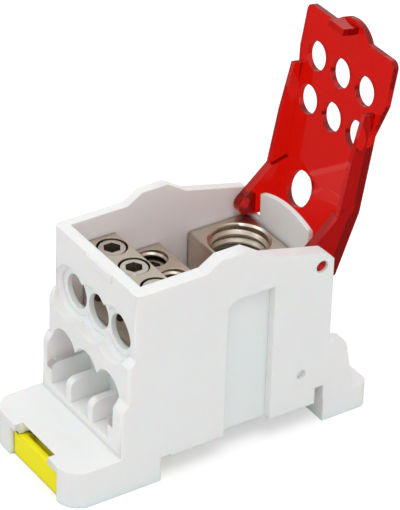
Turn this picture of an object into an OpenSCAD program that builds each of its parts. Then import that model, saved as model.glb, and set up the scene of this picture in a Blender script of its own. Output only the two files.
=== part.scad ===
// Single pole distribution block for a 35 mm rail: moulded base, hinged see-through lid,
// brass terminal bar with six outgoing clamps and one incoming clamp, sliding rail latch.
// Millimetres. +Z is up from the rail, -Y is the outgoing side, +Y the incoming cable side.
// The origin is on the rail seat plane, midway between the two feet.

/* [Housing] */
// Width over the side walls
body_w = 28.3; // [28.1:0.1:34]
// Thickness of the left side wall
wall_left = 1.9; // [1.6:0.1:2]
// Thickness of the right side wall
wall_right = 2.9; // [2.5:0.1:3]
// Thickness of the front wall at the wire funnels
wall_front = 2.4; // [2.2:0.1:3]
// Height of the rim over the outgoing clamps, above the feet
rim_h = 42; // [41.5:0.1:46]
// Rise of the side walls behind the outgoing clamps
crest_rise = 2; // [1.5:0.1:2.4]
// Gap between the two feet, for the rail
rail_gap = 36; // [35.6:0.1:36.8]
// Height of the rail seat above the bottom of the feet
seat_h = 4.84; // [4.5:0.1:5.2]
// Length of the front foot ahead of the body
foot_out = 13.6; // [12.5:0.1:16]
// Height of the front foot
foot_h = 7.7; // [7.4:0.1:8.6]
// Corner radius of the front foot
foot_r = 4.5; // [1.5:0.1:5]
// Length of the rear foot
heel_len = 10.5; // [9:0.1:13]
// Height of the ledge on the rear foot
heel_h = 5.2; // [4.8:0.1:6.5]

/* [Outgoing wires] */
// Wall left between neighbouring wire entries
wire_gap = 0.8; // [0.7:0.1:2.5]
// Sideways offset of the wire entries from the middle of the well
row_shift = -0.2; // [-0.3:0.1:0.2]
// Depth of the upper row of wires below the rim
upper_drop = 11.75; // [11.4:0.05:12]
// Distance between the two rows of wires
row_step = 11.95; // [11.5:0.05:12.2]
// Thickness of the dividers between the lower channels
divider_t = 1.75; // [1.2:0.05:2.1]

/* [Incoming cable] */
// Distance of the incoming cable from the left side of the well
cable_in_x = 7.55; // [7.2:0.05:9]
// Height of the incoming cable above the lower row of wires
cable_rise = 1.2; // [0.4:0.1:1.6]
// Diameter of the incoming cable bore
cable_d = 10; // [8:0.1:10.4]
// Length of the spout behind the rear wall
spout_len = 8.1; // [5:0.1:9.5]
// Wall thickness of the spout
spout_t = 1.2; // [1:0.1:1.8]

/* [Clamps] */
// Step from the wire entry down to the thread of its clamp screw
clamp_step = 0.9; // [0.8:0.1:2]
// Hexagon socket of the outgoing clamp screws, across flats
clamp_hex = 3; // [2:0.1:3.2]
// Thread diameter of the incoming clamp screw
main_d = 11.2; // [10:0.1:11.6]
// Hexagon socket of the incoming clamp screw, across flats
main_hex = 6; // [4:0.1:7]
// Radial play of every screw in its thread
thread_play = 0.05; // [0.02:0.01:0.09]

/* [Lid] */
// Thickness of the lid
lid_t = 1.2; // [0.9:0.1:1.4]
// Angle by which the open lid has swung from shut
open_angle = 99.7; // [95:0.1:104]
// Diameter of the pivot pins
pivot_d = 2.4; // [2:0.1:2.6]
// Radial play of the pins in their holes
pivot_play = 0.05; // [0.02:0.01:0.09]
// Overlap of the lid over the edge of each outgoing clamp screw
access_lap = 0.05; // [0:0.05:0.6]
// Diameter of the access hole over the incoming clamp
main_access_d = 7; // [5:0.1:8]
// Reach of the pull tab beyond the front edge of the lid
tab_out = 2.6; // [2:0.1:4]

/* [Rail latch] */
// Width of the latch tongue
latch_w = 16.2; // [12:0.1:16.8]
// Grip of the latch nose under the rail
latch_nose = 1.6; // [1:0.1:2]
// Play of the latch in its guide
latch_play = 0.15; // [0.1:0.01:0.25]

/* [Hidden] */
$fn = 64;
e = 0.5;

// Lengthwise stations: 0 is the upper front face of the base
gap_front = 5.77;
gap_rear = gap_front + rail_gap;
back_y = gap_rear + 0.63;
rear_t = 1;
hook_out = 1.4;
ledge_t = 0.3;
inner_back = back_y - rear_t;
step_1 = 1.34;
step_2 = 2.62;
seat_y = gap_front + rail_gap / 2;

// Widths
half = body_w / 2;
in_left = -half + wall_left;
in_right = half - wall_right;
in_w = in_right - in_left;
in_mid = (in_left + in_right) / 2;
corner_r = 0.9;

// Heights above the feet
crest_h = rim_h + crest_rise;
floor_h = seat_h + 2.2;
upper_z = rim_h - upper_drop;
lower_z = upper_z - row_step;
cable_z = lower_z + cable_rise;
channel_floor = lower_z - 8.56;
divider_top = lower_z - 4;
face_2_top = upper_z - 1.85;
face_3_top = lower_z + 1;

// Pivot of the lid
pivot_y = back_y - 2.62;
pivot_z = rim_h - 6.76;

// Terminal bar
bar_gap = 0.24;
bar_left = in_left + bar_gap;
bar_w = in_w - 2 * bar_gap;
bar_bottom = lower_z - 5.9;
bar_front = 5;
bar_shelf = upper_z - 6.25;
bar_low_front = 7;
shield_t = 1.16;
tier_1_back = 11.92;
tier_1_top = upper_z + 7.2;
tier_2_back = 21.74;
tier_2_top = lower_z + 13.74;
web_top = lower_z + 1.7;
block_back = inner_back - 0.4;
block_front = block_back - 13.2;
block_top = cable_z + 12.8;
clamp_1_y = 8.68;
clamp_2_y = 17.53;
main_y = (block_front + block_back) / 2;
pitch = bar_w * 0.3258;
row_x = in_mid + row_shift;
arch_r = pitch / 2 + 0.3;
wire_r = (pitch - wire_gap) / 2;
clamp_r = wire_r - clamp_step / 2;
cable_x = in_left + cable_in_x;
main_r = main_d / 2;
cable_r = cable_d / 2;
bar_entry = 0.25;
funnel_depth = 1.35;

// Screws as shown: heights of their heads and their lengths
clamp_1_top = tier_1_top - 0.15;
clamp_1_len = 4.5;
clamp_2_top = tier_2_top - 1.74;
clamp_2_len = 8;
main_top = block_top - 5.2;
main_len = 6;

// Latch and its opening in the front foot
latch_x = 1.3;
latch_set_in = 0.8;
latch_front = -foot_out + latch_set_in;
latch_h = 5;
latch_top = latch_h + 0.2 + latch_play;
latch_ear = 1.4;
latch_ear_y = latch_front + 5.6;
guide_h = 1.4;
driver_l = latch_x - 6.5;
driver_w = 11.5;

function wire_x(i) = row_x + (i - 1) * pitch;

module place() {
  translate([0, -seat_y, -seat_h]) children();
}

// Plan outline with two rounded corners at its front
module nose_plan(x0, x1, y0, y1, r) {
  translate([x0 + r, y0]) square([x1 - x0 - 2 * r, y1 - y0]);
  translate([x0, y0 + r]) square([x1 - x0, y1 - y0 - r]);
  translate([x0 + r, y0 + r]) circle(r);
  translate([x1 - r, y0 + r]) circle(r);
}

// Side profile in Y and Z, drawn out along X
module along_x(x0, x1) {
  translate([x0, 0, 0]) rotate([90, 0, 90]) linear_extrude(x1 - x0) children();
}

// Round bar or bore along Y
module rod_y(r, x, z, y0, y1) {
  translate([x, y1, z]) rotate([90, 0, 0]) cylinder(r = r, h = y1 - y0);
}

module base_block() {
  // upper part, cut to the line of the rim
  intersection() {
    linear_extrude(crest_h) nose_plan(-half, half, 0, back_y, corner_r);
    along_x(-half, half) polygon([
      [0, seat_h], [0, rim_h], [14.5, rim_h], [17.7, crest_h], [23.2, crest_h],
      [27.3, rim_h - 0.65], [back_y - 1.75, rim_h - 4.04], [back_y, rim_h - 5.7],
      [back_y, seat_h]]);
  }
  // middle step, which leans back to the upper face
  difference() {
    translate([0, 0, seat_h]) linear_extrude(face_2_top - seat_h)
      nose_plan(-half, half, -step_1, 12, corner_r);
    along_x(-half - e, half + e) polygon([
      [-step_1 - e, face_2_top - 1.6 - e * 1.2], [-step_1 - e, face_2_top + 0.6],
      [0.5, face_2_top + 0.6], [0, face_2_top]]);
  }
  // lower step
  difference() {
    linear_extrude(face_3_top) nose_plan(-half, half, -step_2, gap_front, corner_r);
    along_x(-half - e, half + e) polygon([
      [-step_2 - e, face_3_top - 1.7 - e * 1.33], [-step_2 - e, face_3_top + 0.7],
      [-step_1 + 0.5, face_3_top + 0.7], [-step_1, face_3_top]]);
  }
}

module feet() {
  linear_extrude(foot_h) nose_plan(-half, half, -foot_out, gap_front, foot_r);
  // rear foot with rounded rear corners
  translate([0, 2 * gap_rear + heel_len, 0]) mirror([0, 1, 0])
    linear_extrude(heel_h) nose_plan(-half, half, gap_rear, gap_rear + heel_len, 2);
  linear_extrude(seat_h + e) translate([-half, gap_rear]) square([body_w, back_y - gap_rear]);
  // fixed hook that goes under the rail
  translate([-8, gap_rear - hook_out, 0]) cube([16, hook_out + e, seat_h - 1.3]);
  // braces from the foot to the rear wall
  brace = cable_z - 1.5;
  for (x = [-half, half - 2])
    along_x(x, x + 2) polygon([
      [back_y - e, heel_h - e], [back_y - e, brace], [back_y + 1.9, brace],
      [back_y + 3.1, brace - 0.6], [back_y + 3.9, brace - 1.8], [back_y + 4.3, brace - 3.2],
      [back_y + 4.5, brace - 4.6], [back_y + 6.2, heel_h - e]]);
}

// Arched plate between the arms of the lid
module arc_plate() {
  plate_l = in_left + 3.85;
  plate_r = in_right - 4.05;
  plate_m = (plate_l + plate_r) / 2;
  rise = 20;
  translate([0, back_y, 0]) rotate([90, 0, 0]) linear_extrude(rear_t) intersection() {
    translate([plate_l, pivot_z - 6]) square([plate_r - plate_l, 12]);
    translate([plate_m, pivot_z + 4.56 - rise]) circle(rise, $fn = 128);
  }
}

module spout() {
  rod_y(cable_r + spout_t, cable_x, cable_z, inner_back, back_y + spout_len);
}

module cavity() {
  // well of the terminal bar, with a shelf for its front tier
  translate([in_left, bar_low_front - 0.2, floor_h])
    cube([in_w, inner_back - bar_low_front + 0.2, crest_h]);
  translate([in_left, wall_front, bar_shelf - 0.1])
    cube([in_w, inner_back - wall_front, crest_h]);
}

module funnels() {
  for (i = [0:2]) {
    rod_y(wire_r, wire_x(i), upper_z, -step_1 - e, wall_front + e);
    // pocket round the entry, opening out in two steps
    rod_y(wire_r + 1.3, wire_x(i), upper_z, -step_1 - e, funnel_depth);
    translate([wire_x(i), 0.9, upper_z]) rotate([90, 0, 0])
      cylinder(r1 = wire_r + 1.3, r2 = wire_r + 2.1, h = 0.6);
    rod_y(wire_r + 2.1, wire_x(i), upper_z, -step_1 - e, 0.31);
  }
}

module channels() {
  left = wire_x(0) - arch_r + 0.15;
  right = wire_x(2) + arch_r - 0.15;
  end_l = left + divider_t - 0.1;
  end_r = right - divider_t + 0.1;
  slot = pitch - divider_t;
  shield_y = bar_low_front - 0.2 - shield_t;
  depth = shield_y + step_2 + e;
  for (i = [0:2]) {
    rod_y(arch_r, wire_x(i), lower_z, -step_2 - e, shield_y);
    rod_y(wire_r, wire_x(i), lower_z, shield_y - e, bar_low_front + e);
  }
  translate([0, -step_2 - e, channel_floor]) {
    slot_h = divider_top - channel_floor + e;
    translate([end_l, 0, 0]) cube([wire_x(0) + slot / 2 - end_l, depth, slot_h]);
    translate([wire_x(1) - slot / 2, 0, 0]) cube([slot, depth, slot_h]);
    translate([wire_x(2) - slot / 2, 0, 0]) cube([end_r - wire_x(2) + slot / 2, depth, slot_h]);
  }
  translate([left, -step_2 - e, divider_top]) cube([right - left, depth, lower_z - divider_top]);
  // rounded front of the dividers
  r = 1.6;
  along_x(left, right) difference() {
    translate([-step_2 - e, divider_top - r]) square([r + e, r + e]);
    translate([-step_2 + r, divider_top - r]) circle(r);
  }
}

// Ribs that carry the bar above the floor
module ribs() {
  rib_t = 1.8;
  for (y = [bar_low_front + 3, tier_2_back + 1, block_back - 5])
    translate([in_left - 0.2, y, floor_h - e]) cube([in_w + 0.4, rib_t, bar_bottom - floor_h + e]);
}

module housing() {
  latch_open = latch_w / 2 + latch_ear + 0.2;
  latch_side = latch_w / 2 + latch_play;
  groove_z = rim_h - 10.1;
  color([0.93, 0.94, 0.94]) place() difference() {
    union() {
      difference() {
        union() {
          base_block();
          feet();
          spout();
        }
        cavity();
      }
      arc_plate();
      ribs();
      // ledge that the catch of the lid passes over
      translate([row_x - 2.4, -ledge_t, rim_h - 1.6]) cube([8.8, ledge_t + e, 1.5]);
    }
    // rail seat, open below
    translate([-half - e, gap_front, -e]) cube([body_w + 2 * e, rail_gap - hook_out, seat_h + e]);
    translate([-half - e, gap_front, seat_h - 1.3])
      cube([body_w + 2 * e, rail_gap, 1.3]);
    // relief over the two hooks, so that the rail lies flat on the seat between them
    for (y = [gap_front, gap_rear - hook_out - 0.4])
      translate([-half - e, y, seat_h - e])
        cube([body_w + 2 * e, y == gap_front ? latch_nose + 0.4 : hook_out + 0.4, 0.4 + e]);
    funnels();
    channels();
    rod_y(cable_r, cable_x, cable_z, inner_back - e, back_y + spout_len + e);
    // room for the arms of the lid
    for (x = [in_left, in_right - 4.05])
      translate([x, inner_back - e, pivot_z - 2.8]) cube([x < 0 ? 3.85 : 4.05, rear_t + 2 * e, 9]);
    // pivot holes
    translate([-half - e, pivot_y, pivot_z]) rotate([0, 90, 0])
      cylinder(r = pivot_d / 2 + pivot_play, h = body_w + 2 * e);
    // groove, peg hole and notches of the side walls
    along_x(half - 1.7, half + e) {
      translate([19.44, 0]) square([10.08, groove_z]);
      translate([21.94, groove_z - 0.9]) square([7.58, 3.4]);
      translate([21.94, groove_z]) circle(2.5);
    }
    translate([half - 1, 36.4, lower_z - 5.8]) rotate([0, 90, 0]) cylinder(r = 1, h = 1 + e);
    for (x = [-half - e, in_right])
      translate([x, gap_rear - 2.1, seat_h - e]) cube([x < 0 ? wall_left + e : wall_right + e, 1.9, 3.46 + e]);
    // opening of the latch, wider above its guides
    translate([latch_x - latch_side, -foot_out - e, -e])
      cube([2 * latch_side, foot_out + gap_front + 2 * e, latch_top + e]);
    translate([latch_x - latch_open, latch_ear_y - 3.8, guide_h])
      cube([2 * latch_open, gap_front - latch_ear_y + 3.8 + e, latch_top - guide_h]);
    translate([latch_x - latch_side, -foot_out - e, latch_h])
      cube([2 * latch_side, latch_set_in + 0.2 + e, 1.2]);
    // driver access at the front edge of the foot, with a leaning back wall
    along_x(driver_l, driver_l + driver_w) polygon([
      [-foot_out - e, latch_h], [-foot_out + 3.2, latch_h], [-foot_out + 3.2, latch_top],
      [-foot_out + 1.6, foot_h], [-foot_out + 1.6, foot_h + e], [-foot_out - e, foot_h + e]]);
  }
}

module terminal_bar() {
  c = 0.4;
  color([0.72, 0.68, 0.62]) place() difference() {
    along_x(bar_left, bar_left + bar_w) polygon([
      [bar_front, bar_shelf], [bar_front, tier_1_top - c], [bar_front + c, tier_1_top],
      [tier_1_back - 0.15, tier_1_top], [tier_1_back, tier_1_top - 0.15],
      [tier_1_back, tier_2_top], [tier_2_back - c, tier_2_top], [tier_2_back, tier_2_top - c],
      [tier_2_back, web_top], [block_front, web_top], [block_front, block_top - c],
      [block_front + c, block_top], [block_back - c, block_top], [block_back, block_top - c],
      [block_back, bar_bottom], [bar_low_front, bar_bottom], [bar_low_front, bar_shelf]]);
    for (i = [0:2]) {
      // wire holes and threads of both rows
      rod_y(wire_r - bar_entry, wire_x(i), upper_z, bar_front - e, tier_1_back - 0.9);
      rod_y(wire_r - bar_entry, wire_x(i), lower_z, bar_low_front - e, tier_2_back - 1);
      translate([wire_x(i), clamp_1_y, upper_z - 1.5])
        cylinder(r = clamp_r + thread_play, h = tier_1_top - upper_z + 1.5 + e);
      translate([wire_x(i), clamp_2_y, lower_z - 1.5])
        cylinder(r = clamp_r + thread_play, h = tier_2_top - lower_z + 1.5 + e);
    }
    rod_y(cable_r - bar_entry, cable_x, cable_z, block_front + 1, block_back + e);
    translate([cable_x, main_y, cable_z - 3])
      cylinder(r = main_r + thread_play, h = block_top - cable_z + 3 + e);
    translate([cable_x, main_y, block_top - 0.4])
      cylinder(r1 = main_r + thread_play, r2 = main_r + 0.45, h = 0.4 + 0.001);
  }
}

// Socket set screw, its head at the origin
module set_screw(r, len, hex, deep) {
  difference() {
    union() {
      translate([0, 0, -len + 0.6]) cylinder(r = r, h = len - 1);
      translate([0, 0, -0.4]) cylinder(r1 = r, r2 = r - 0.4, h = 0.4);
      translate([0, 0, -len]) cylinder(r1 = r - 0.6, r2 = r, h = 0.6);
    }
    translate([0, 0, -deep]) rotate(30) cylinder(r = hex / 2 / cos(30), h = deep + e, $fn = 6);
  }
}

module clamp_screw_a(i) {
  color([0.66, 0.63, 0.58]) place() translate([wire_x(i), clamp_1_y, clamp_1_top])
    set_screw(clamp_r, clamp_1_len, clamp_hex, 3);
}

module clamp_screw_b(i) {
  color([0.66, 0.63, 0.58]) place() translate([wire_x(i), clamp_2_y, clamp_2_top])
    set_screw(clamp_r, clamp_2_len, clamp_hex, 3);
}

module clamp_screw_1() {
  clamp_screw_a(0);
}

module clamp_screw_2() {
  clamp_screw_a(1);
}

module clamp_screw_3() {
  clamp_screw_a(2);
}

module clamp_screw_4() {
  clamp_screw_b(0);
}

module clamp_screw_5() {
  clamp_screw_b(1);
}

module clamp_screw_6() {
  clamp_screw_b(2);
}

module main_screw() {
  color([0.66, 0.63, 0.58]) place() translate([cable_x, main_y, main_top])
    set_screw(main_r, main_len, main_hex, 4.5);
}

// Lid, drawn shut and about its pivot: forward is -Y, height above the pivot is Z
roof_n = 8.65;
roof_front = pivot_y - 0.05;
roof_tail = -4.3;
roof_crease = 8.5;
tail_n = 6.1;
lid_left = in_left + 0.14;
lid_right = in_right - 0.14;
lid_wide_l = -half + 0.75;
lid_wide_r = half - 0.85;
wide_len = 8.75;
tab_x = in_mid + 0.75;
tab_r = 6.5;
catch_x = in_mid - 2.1;
catch_w = 4.5;
catch_t = 1.35;
skirt_t = 1;
arm_t = 1.9;
arm_r = 1.9;

module lid_plan() {
  r = 1.5;
  front = -roof_front;
  wide = front + wide_len;
  translate([lid_wide_l + r, front]) square([lid_wide_r - lid_wide_l - 2 * r, r + 0.1]);
  translate([lid_wide_l, front + r]) square([lid_wide_r - lid_wide_l, wide_len - r]);
  translate([lid_wide_l + r, front + r]) circle(r);
  translate([lid_wide_r - r, front + r]) circle(r);
  polygon([[lid_wide_l, wide - 0.1], [lid_wide_l, wide], [lid_left, wide + 7],
    [lid_left, -roof_tail], [lid_right, -roof_tail], [lid_right, wide + 7],
    [lid_wide_r, wide], [lid_wide_r, wide - 0.1]]);
  // pull tab, a segment of a disc
  translate([tab_x, front - tab_out + tab_r]) circle(tab_r);
}

// Section of the roof, from the front edge to the tail behind the pivot
module roof_section(t) {
  polygon([[-roof_front - tab_out, roof_n], [-roof_crease, roof_n], [-roof_tail, tail_n],
    [-roof_tail, tail_n - t], [-roof_crease, roof_n - t], [-roof_front - tab_out, roof_n - t]]);
}

module arm_section() {
  circle(arm_r);
  polygon([[-0.9, -1.67], [-7.9, 4], [-9.5, roof_n - lid_t + 0.1], [-roof_crease, roof_n - lid_t + 0.1],
    [arm_r, 6], [arm_r, 0], [0, 0]]);
}

module lid_shut() {
  under = roof_n - lid_t;
  difference() {
    intersection() {
      along_x(-half, half) roof_section(lid_t);
      translate([0, 0, tail_n - lid_t - e]) linear_extrude(roof_n + e) lid_plan();
    }
    for (i = [0:2]) {
      for (y = [clamp_1_y, clamp_2_y])
        translate([wire_x(i), y - pivot_y, 0]) cylinder(r = clamp_r - access_lap, h = roof_n + e);
    }
    translate([cable_x, main_y - pivot_y, 0]) cylinder(r = main_access_d / 2, h = roof_n + e);
  }
  // side skirts inside the walls
  for (x = [lid_left, lid_right - skirt_t])
    along_x(x, x + skirt_t) polygon([
      [-28.5, under + 0.1], [-28.5, 5.1], [-19, 4.3], [-8, 4], [-8, under + 0.1]]);
  // arms and pins
  along_x(lid_left, lid_left + arm_t) arm_section();
  along_x(lid_right - arm_t, lid_right) arm_section();
  translate([in_left - wall_left + 0.6, 0, 0]) rotate([0, 90, 0])
    cylinder(r = pivot_d / 2, h = wall_left);
  translate([lid_right - 0.5, 0, 0]) rotate([0, 90, 0])
    cylinder(r = pivot_d / 2, h = wall_right);
  // catch under the tab, which passes the ledge of the front wall
  translate([catch_x, -pivot_y - ledge_t - 0.1 - catch_t, 3.95])
    cube([catch_w, catch_t, under - 3.95 + 0.1]);
}

module cover() {
  color([0.85, 0.1, 0.08, 0.75]) place() translate([0, pivot_y, pivot_z])
    rotate([-open_angle, 0, 0]) lid_shut();
}

module rail_clip() {
  w = latch_w;
  tail = gap_front - 0.4;
  relief_y = latch_front + 4.5;
  color([0.95, 0.85, 0.1]) place() translate([latch_x, 0, 0.2]) difference() {
    union() {
      translate([-w / 2, latch_front, 0]) cube([w, tail - latch_front, latch_h]);
      translate([-w / 2, tail - e, 0]) cube([w, latch_nose + 0.4 + e, seat_h - 1.4]);
      translate([-w / 2 - latch_ear, latch_ear_y, guide_h - 0.2 + latch_play])
        cube([w + 2 * latch_ear, tail - latch_ear_y, latch_h - guide_h + 0.2 - latch_play]);
    }
    // driver slot
    translate([driver_l - latch_x + 0.9, latch_front + 1.5, 1])
      cube([driver_w - 1.9, 1.5, latch_h]);
    // relief under the tongue
    translate([-w / 2 + 2, relief_y, -e]) cube([w - 4, latch_ear_y + 7 - relief_y, 2.2 + e]);
  }
}

housing();
cover();
terminal_bar();
clamp_screw_1();
clamp_screw_2();
clamp_screw_3();
clamp_screw_4();
clamp_screw_5();
clamp_screw_6();
main_screw();
rail_clip();
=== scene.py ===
import bpy
import bmesh
import math
from mathutils import Matrix, Vector


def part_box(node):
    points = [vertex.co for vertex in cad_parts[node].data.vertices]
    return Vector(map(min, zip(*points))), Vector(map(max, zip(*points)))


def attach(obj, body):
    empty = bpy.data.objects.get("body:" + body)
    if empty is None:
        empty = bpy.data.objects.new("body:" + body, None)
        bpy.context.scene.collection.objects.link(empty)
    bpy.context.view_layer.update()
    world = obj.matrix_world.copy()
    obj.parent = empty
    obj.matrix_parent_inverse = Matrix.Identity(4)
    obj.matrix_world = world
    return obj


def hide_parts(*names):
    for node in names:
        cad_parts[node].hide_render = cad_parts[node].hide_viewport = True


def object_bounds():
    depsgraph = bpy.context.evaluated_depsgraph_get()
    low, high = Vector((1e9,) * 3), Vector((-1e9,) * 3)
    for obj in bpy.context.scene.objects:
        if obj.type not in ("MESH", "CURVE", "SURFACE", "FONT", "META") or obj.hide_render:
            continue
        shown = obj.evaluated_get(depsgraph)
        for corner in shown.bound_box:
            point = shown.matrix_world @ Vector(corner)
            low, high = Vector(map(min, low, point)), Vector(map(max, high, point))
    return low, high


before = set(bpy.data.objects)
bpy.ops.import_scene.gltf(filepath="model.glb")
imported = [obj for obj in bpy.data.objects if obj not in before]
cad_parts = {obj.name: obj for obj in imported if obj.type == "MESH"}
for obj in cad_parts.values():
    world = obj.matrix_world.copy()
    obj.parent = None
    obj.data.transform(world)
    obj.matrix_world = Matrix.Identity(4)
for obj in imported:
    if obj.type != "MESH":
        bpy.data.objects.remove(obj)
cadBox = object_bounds()
mm = 0.001
scene = bpy.context.scene
print("frame loaded:", len(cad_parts), "CAD nodes")


def srgb(hexColour, alpha=1.0):
    # sRGB hex to the linear values that Blender's sockets take
    parts = [int(hexColour[i:i + 2], 16) / 255 for i in (1, 3, 5)]
    linear = [c / 12.92 if c <= 0.04045 else ((c + 0.055) / 1.055) ** 2.4 for c in parts]
    return (*linear, alpha)


def addNode(tree, kind, settings=None, links=None):
    # one node, its properties or socket values, and what feeds its sockets
    node = tree.nodes.new(kind)
    for key, value in (settings or {}).items():
        if isinstance(key, str) and hasattr(node, key):
            setattr(node, key, value)
        else:
            node.inputs[key].default_value = value
    for key, source in (links or {}).items():
        tree.links.new(source, node.inputs[key])
    return node


def newMaterial(name):
    material = bpy.data.materials.new(name)
    material.use_nodes = True
    material.node_tree.nodes.clear()
    return material, material.node_tree


def closeMaterial(tree, shader):
    addNode(tree, "ShaderNodeOutputMaterial", links={"Surface": shader.outputs[0]})


def lineUp(tree):
    # Object coordinates, in metres, because every piece sits at the origin
    return addNode(tree, "ShaderNodeTexCoord").outputs["Object"]


def drift(tree, place, size, detail):
    # Noise whose features are about the given size across
    return addNode(tree, "ShaderNodeTexNoise", {"Scale": 1 / size, "Detail": detail},
                   {"Vector": place}).outputs["Fac"]


def twoTints(tree, level, look):
    # The material's colour, drifting towards its shade
    return addNode(tree, "ShaderNodeMix", {"data_type": "RGBA", 6: srgb(look["shade"]),
                   7: srgb(look["colour"])}, {0: level}).outputs[2]


def unevenSheen(tree, level, look):
    # Roughness that wanders by its spread on either side
    return addNode(tree, "ShaderNodeMapRange", {"To Min": look["roughness"] - look["spread"],
                   "To Max": look["roughness"] + look["spread"]}, {"Value": level}).outputs[0]


def paintedRecessShade(tree, tint, look):
    # Painted shade: the colour is darkened towards a shade colour wherever ambient occlusion finds the
    # surface closed in
    around = addNode(tree, "ShaderNodeAmbientOcclusion", {"samples": 6, "Distance": look["recess"]})
    level = addNode(tree, "ShaderNodeMapRange", {"From Min": look["closed"], "From Max": look["free"]},
                    {"Value": around.outputs["AO"]})
    return addNode(tree, "ShaderNodeMix", {"data_type": "RGBA", 6: srgb(look["paintedShade"])},
                   {0: level.outputs[0], 7: tint}).outputs[2]


def softEdge(tree, radius):
    # The small round that a mould or a cutter leaves along every edge, in shading only
    return addNode(tree, "ShaderNodeBevel", {"samples": 6, "Radius": radius}).outputs["Normal"]


def relief(tree, height, look):
    # Fine unevenness, laid over the soft edges of a material that has them
    links = {"Height": height}
    if "edge" in look:
        links["Normal"] = softEdge(tree, look["edge"])
    return addNode(tree, "ShaderNodeBump", {"Strength": look["relief"],
                   "Distance": look["reliefDepth"]}, links).outputs["Normal"]


def whitePolyamide(look):
    # Injection-moulded polyamide from a spark-eroded tool: even, slightly translucent,
    # a satin sheen with no sharp highlight
    material, tree = newMaterial("whitePolyamide")
    place = lineUp(tree)
    cloud = drift(tree, place, look["cloudSize"], 3.0)
    # erosion pits are about 0.05 mm, drawn coarser so that they show at all
    pits = drift(tree, place, look["grain"], 2.0)
    shader = addNode(tree, "ShaderNodeBsdfPrincipled",
                     {"IOR": look["ior"], "Subsurface Weight": look["glow"],
                      "Subsurface Scale": look["depth"]},
                     {"Base Color": twoTints(tree, cloud, look),
                      "Roughness": unevenSheen(tree, cloud, look),
                      "Normal": relief(tree, pits, look)})
    closeMaterial(tree, shader)
    return material


def redPolycarbonate(look):
    # Clear polycarbonate dyed through, polished tool: see-through, deeper in colour where
    # two walls lie behind each other. Its IOR is set below the usual 1.58, to bend the view
    # through the thin walls less
    material, tree = newMaterial("redPolycarbonate")
    place = lineUp(tree)
    flow = drift(tree, place, look["flowSize"], 1.0)
    shader = addNode(tree, "ShaderNodeBsdfPrincipled",
                     {"IOR": look["ior"], "Roughness": look["roughness"],
                      "Specular IOR Level": look["gloss"], "Transmission Weight": look["clear"]},
                     {"Base Color": twoTints(tree, flow, look),
                      "Normal": relief(tree, flow, look)})
    closeMaterial(tree, shader)
    return material


def nickelOnBrass(look):
    # Brass bar, sawn and milled along X, then nickel plated: warm grey metal with fine
    # lines left by the cutter
    material, tree = newMaterial("nickelOnBrass")
    place = lineUp(tree)
    spread = addNode(tree, "ShaderNodeMapping", {"Scale": (look["cutStretch"], 1, 1)},
                     {"Vector": place})
    lines = drift(tree, spread.outputs[0], look["cutSpacing"], 3.0)
    cloud = drift(tree, place, look["cloudSize"], 3.0)
    # the base colour carries painted shade in the bar's recesses
    shader = addNode(tree, "ShaderNodeBsdfPrincipled", {"Metallic": 1.0},
                     {"Base Color": paintedRecessShade(tree, twoTints(tree, cloud, look), look),
                      "Roughness": unevenSheen(tree, lines, look),
                      "Normal": relief(tree, lines, look)})
    closeMaterial(tree, shader)
    return material


def platedSteel(look):
    # Turned set screws, zinc-nickel plated: a little brighter and smoother than the bar
    material, tree = newMaterial("platedSteel")
    place = lineUp(tree)
    cloud = drift(tree, place, look["cloudSize"], 3.0)
    # the base colour carries painted shade in the screws' sockets and recesses
    shader = addNode(tree, "ShaderNodeBsdfPrincipled", {"Metallic": 1.0},
                     {"Base Color": paintedRecessShade(tree, twoTints(tree, cloud, look), look),
                      "Roughness": unevenSheen(tree, cloud, look),
                      "Normal": relief(tree, cloud, look)})
    closeMaterial(tree, shader)
    return material


def yellowPolyamide(look):
    # Same moulded plastic as the base, dyed through
    material, tree = newMaterial("yellowPolyamide")
    place = lineUp(tree)
    cloud = drift(tree, place, look["cloudSize"], 3.0)
    pits = drift(tree, place, look["grain"], 2.0)
    # the base colour carries painted shade in the clip's recesses
    shader = addNode(tree, "ShaderNodeBsdfPrincipled",
                     {"IOR": look["ior"], "Roughness": look["roughness"],
                      "Specular IOR Level": look["gloss"], "Subsurface Weight": look["glow"],
                      "Subsurface Scale": look["depth"]},
                     {"Base Color": paintedRecessShade(tree, twoTints(tree, cloud, look), look),
                      "Normal": relief(tree, pits, look)})
    closeMaterial(tree, shader)
    return material


housingLook = {"colour": "#F6F7F6", "shade": "#F1F3F2", "roughness": 0.42, "spread": 0.05,
               "ior": 1.53, "glow": 0.4, "depth": 2.2 * mm, "cloudSize": 9 * mm,
               "grain": 0.35 * mm, "relief": 0.15, "reliefDepth": 0.05 * mm,
               "edge": 0.25 * mm}
coverLook = {"colour": "#D6140A", "shade": "#CC0E05", "roughness": 0.05, "ior": 1.45,
             "gloss": 0.1, "clear": 0.8, "flowSize": 12 * mm, "relief": 0.06,
             "reliefDepth": 0.1 * mm}
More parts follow.
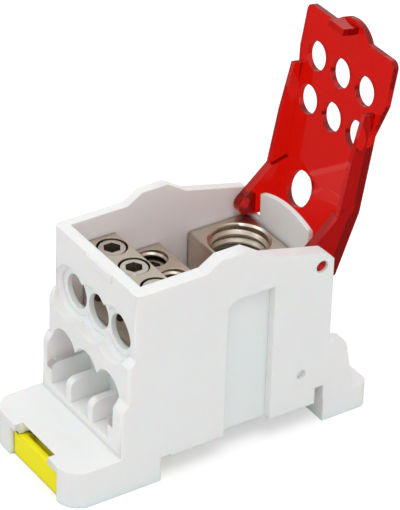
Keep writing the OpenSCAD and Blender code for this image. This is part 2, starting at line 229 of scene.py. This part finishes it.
# The last colour in the bar, screw and clip looks is the painted shade laid into their recesses
barLook = {"colour": "#DDD2C4", "shade": "#CFC3B4", "roughness": 0.3, "spread": 0.08,
           "cloudSize": 4 * mm, "cutSpacing": 0.25 * mm, "cutStretch": 0.06,
           "relief": 0.3, "reliefDepth": 0.02 * mm, "edge": 0.15 * mm,
           "recess": 1.5 * mm, "closed": 0.15, "free": 0.85, "paintedShade": "#2A241D"}
screwLook = {"colour": "#E4DED4", "shade": "#C9C0B4", "roughness": 0.22, "spread": 0.06,
             "cloudSize": 1.5 * mm, "relief": 0.1, "reliefDepth": 0.02 * mm,
             "edge": 0.1 * mm, "recess": 1.6 * mm, "closed": 0.25, "free": 0.85,
             "paintedShade": "#15100C"}
clipLook = {"colour": "#FFF803", "shade": "#FFF000", "roughness": 0.5, "ior": 1.53,
            "gloss": 0.3, "glow": 0.1, "depth": 1 * mm, "cloudSize": 6 * mm,
            "grain": 0.35 * mm, "relief": 0.2, "reliefDepth": 0.05 * mm,
            "edge": 0.5 * mm, "recess": 1.2 * mm, "closed": 0.2, "free": 0.6,
            "paintedShade": "#4A2C0A"}

white = whitePolyamide(housingLook)
red = redPolycarbonate(coverLook)
nickel = nickelOnBrass(barLook)
steel = platedSteel(screwLook)
yellow = yellowPolyamide(clipLook)
print("materials made")


# How a solid's facets are merged, and how its faces are shaded
facets = {"merge": 0.002 * mm, "flat": math.radians(0.6), "sharp": math.radians(24),
          "evenness": 100}


def mergedCopy(nodeName, pieceName):
    # A copy of the CAD solid with its flat faces merged
    mesh = bmesh.new()
    mesh.from_mesh(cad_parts[nodeName].data)
    bmesh.ops.remove_doubles(mesh, verts=mesh.verts, dist=facets["merge"])
    bmesh.ops.dissolve_limit(mesh, angle_limit=facets["flat"], verts=mesh.verts,
                             edges=mesh.edges)
    data = bpy.data.meshes.new(pieceName)
    mesh.to_mesh(data)
    mesh.free()
    return data


def addPiece(data, pieceName, material, body):
    data.materials.clear()
    data.materials.append(material)
    for face in data.polygons:
        face.use_smooth = True
    data.set_sharp_from_angle(angle=facets["sharp"])
    piece = bpy.data.objects.new(pieceName, data)
    scene.collection.objects.link(piece)
    # the large faces set the normals, so that flat walls stay flat beside their rounds
    even = piece.modifiers.new("evenNormals", "WEIGHTED_NORMAL")
    even.keep_sharp = True
    even.weight = facets["evenness"]
    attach(piece, body)
    return piece


def dressNode(nodeName, material):
    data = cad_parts[nodeName].data
    data.materials.clear()
    data.materials.append(material)


def threadTurns(pieceName, centre, low, high, thread, material, body, steps=48):
    # The turns of thread that show above a sunk screw, spun as a ridge on the wall
    wall, crest, pitch = thread["wall"], thread["crest"], thread["pitch"]
    half = pitch * ridge["foot"]
    flat = ridge["flat"]
    turns = (high - low) / pitch
    mesh = bmesh.new()
    corners = [mesh.verts.new((centre[0] + r, centre[1], low + z)) for r, z in
               ((wall, -half), (crest, -half * flat), (crest, half * flat), (wall, half))]
    mesh.faces.new(corners)
    count = int(round(steps * turns))
    bmesh.ops.spin(mesh, geom=mesh.verts[:] + mesh.edges[:] + mesh.faces[:],
                   cent=(centre[0], centre[1], 0), axis=(0, 0, 1),
                   dvec=(0, 0, (high - low) / count), angle=math.tau * turns, steps=count)
    bmesh.ops.recalc_face_normals(mesh, faces=mesh.faces)
    data = bpy.data.meshes.new(pieceName)
    mesh.to_mesh(data)
    mesh.free()
    return addPiece(data, pieceName, material, body)


pieces = {
    "housing": ("mouldedBase", white, "base", "white_moulding"),
    "cover": ("hingedLid", red, "lid", "clear_red"),
    "terminal_bar": ("terminalBar", nickel, "base", "nickel_brass"),
    "rail_clip": ("railLatch", yellow, "latch", "yellow_moulding"),
    "main_screw": ("incomingScrew", steel, "incoming_screw", "plated_steel"),
}
for i in range(1, 7):
    pieces[f"clamp_screw_{i}"] = (f"clampScrew{i}", steel, f"screw_{i}", "plated_steel")

for nodeName, (pieceName, material, body, slotName) in pieces.items():
    dressNode(nodeName, material)
    piece = addPiece(mergedCopy(nodeName, pieceName), pieceName, material, body)
    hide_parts(nodeName)
print("solids dressed")

# Half the ridge's foot as a share of the pitch, and the flat crest as a share of its foot
ridge = {"foot": 0.46, "flat": 0.15}
# M12 with 1.75 mm pitch: two turns show between the sunk screw and the lead-in at the
# block's top
incoming = {"pitch": 1.75 * mm, "wall": 5.66 * mm, "crest": 5.1 * mm,
            "start": 0.7 * mm, "sunk": 5.2 * mm, "leadIn": 1.0 * mm}
# M6 with 1 mm pitch: one turn shows above each screw of the rear tier
outgoing = {"pitch": 1.0 * mm, "wall": 2.96 * mm, "crest": 2.6 * mm,
            "start": 0.3 * mm, "end": 1.3 * mm}

mainLow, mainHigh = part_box("main_screw")
blockTop = mainHigh.z + incoming["sunk"]
turns = threadTurns("incomingThread", (mainLow + mainHigh) / 2, mainHigh.z + incoming["start"],
                    blockTop - incoming["leadIn"], incoming, nickel, "base")
for i in (4, 5, 6):
    low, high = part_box(f"clamp_screw_{i}")
    turns = threadTurns(f"clampThread{i}", (low + high) / 2, high.z + outgoing["start"],
                        high.z + outgoing["end"], outgoing, nickel, "base")
print("threads cut")


boxLow, boxHigh = cadBox
middle = (boxLow + boxHigh) / 2


def studioFloor(look):
    mesh = bmesh.new()
    bmesh.ops.create_grid(mesh, x_segments=2, y_segments=2, size=look["size"])
    bmesh.ops.translate(mesh, verts=mesh.verts, vec=(middle.x, middle.y, boxLow.z))
    data = bpy.data.meshes.new("floor")
    mesh.to_mesh(data)
    mesh.free()
    material, tree = newMaterial("paperFloor")
    path = addNode(tree, "ShaderNodeLightPath")
    seen = addNode(tree, "ShaderNodeMath", {"operation": "MAXIMUM"},
                   {0: path.outputs["Is Camera Ray"], 1: path.outputs["Is Transmission Ray"]})
    glow = addNode(tree, "ShaderNodeMath", {"operation": "MULTIPLY", 1: look["glow"]},
                   {0: seen.outputs[0]})
    mirrored = addNode(tree, "ShaderNodeMath", {"operation": "SUBTRACT", "use_clamp": True},
                       {0: path.outputs["Is Glossy Ray"], 1: path.outputs["Is Transmission Ray"]})
    paper = addNode(tree, "ShaderNodeMix", {"data_type": "RGBA", 6: srgb(look["colour"]),
                    7: srgb(look["mirrored"])}, {0: mirrored.outputs[0]})
    shader = addNode(tree, "ShaderNodeBsdfPrincipled",
                     {"Roughness": look["roughness"], "Emission Color": (1, 1, 1, 1)},
                     {"Base Color": paper.outputs[2], "Emission Strength": glow.outputs[0]})
    closeMaterial(tree, shader)
    data.materials.append(material)
    floor = bpy.data.objects.new("floor", data)
    scene.collection.objects.link(floor)


def studioSky(look):
    world = bpy.data.worlds.new("studioSky")
    scene.world = world
    world.use_nodes = True
    tree = world.node_tree
    tree.nodes.clear()
    path = addNode(tree, "ShaderNodeLightPath")
    seen = addNode(tree, "ShaderNodeMath", {"operation": "MAXIMUM"},
                   {0: path.outputs["Is Camera Ray"], 1: path.outputs["Is Transmission Ray"]})
    mirrored = addNode(tree, "ShaderNodeMapRange",
                       {"To Min": look["light"], "To Max": look["mirrored"]},
                       {"Value": path.outputs["Is Glossy Ray"]})
    level = addNode(tree, "ShaderNodeMapRange", {"To Max": 1.0},
                    {"Value": seen.outputs[0], "To Min": mirrored.outputs[0]})
    back = addNode(tree, "ShaderNodeBackground", {"Color": (1, 1, 1, 1)},
                   {"Strength": level.outputs[0]})
    addNode(tree, "ShaderNodeOutputWorld", links={"Surface": back.outputs[0]})


def softBox(name, aim, look):
    place = Vector(look["place"])
    lamp = bpy.data.lights.new(name, "AREA")
    lamp.shape = "RECTANGLE"
    lamp.size, lamp.size_y = look["size"]
    lamp.energy = look["power"]
    holder = bpy.data.objects.new(name, lamp)
    holder.location = place
    holder.rotation_euler = (aim - place).to_track_quat("-Z", "Y").to_euler()
    scene.collection.objects.link(holder)


def studioCamera(look):
    # Long lens from the front right and above, rolled a little
    azimuth, elevation, roll = (math.radians(look[k]) for k in ("azimuth", "elevation", "roll"))
    back = Vector((math.sin(azimuth) * math.cos(elevation),
                   -math.cos(azimuth) * math.cos(elevation), math.sin(elevation)))
    right = Vector((math.cos(azimuth), math.sin(azimuth), 0))
    up = back.cross(right)
    turned = Matrix.Rotation(roll, 3, back)
    right, up = turned @ right, turned @ up
    data = bpy.data.cameras.new("camera")
    data.sensor_fit = "VERTICAL"
    data.sensor_height = look["sensor"]
    data.lens = look["lens"]
    data.clip_start = look["nearest"]
    holder = bpy.data.objects.new("camera", data)
    axes = Matrix((right, up, back)).transposed().to_4x4()
    holder.matrix_world = Matrix.Translation(Vector(look["aim"]) + back * look["distance"]) @ axes
    scene.collection.objects.link(holder)
    scene.camera = holder


floorLook = {"colour": "#F4F4F4", "mirrored": "#6E6E6E", "roughness": 0.9, "size": 1.5,
             "glow": 0.32}
skyLook = {"light": 0.7, "mirrored": 0.75}
keyLook = {"place": (-0.25, -0.45, 0.55), "size": (0.4, 0.4), "power": 0.75}
topLook = {"place": (0.25, -0.05, 0.70), "size": (0.4, 0.4), "power": 1.3}
cameraLook = {"azimuth": 55.76, "elevation": 33.05, "roll": 1.91, "lens": 228.0,
              "sensor": 36, "nearest": 0.01, "distance": 0.6011,
              "aim": (-9.26 * mm, 5.0 * mm, 23.54 * mm)}

studioFloor(floorLook)
studioSky(skyLook)
softBox("keyBox", middle, keyLook)
softBox("topBox", middle, topLook)
studioCamera(cameraLook)
scene.view_settings.view_transform = "Standard"
print("studio set")
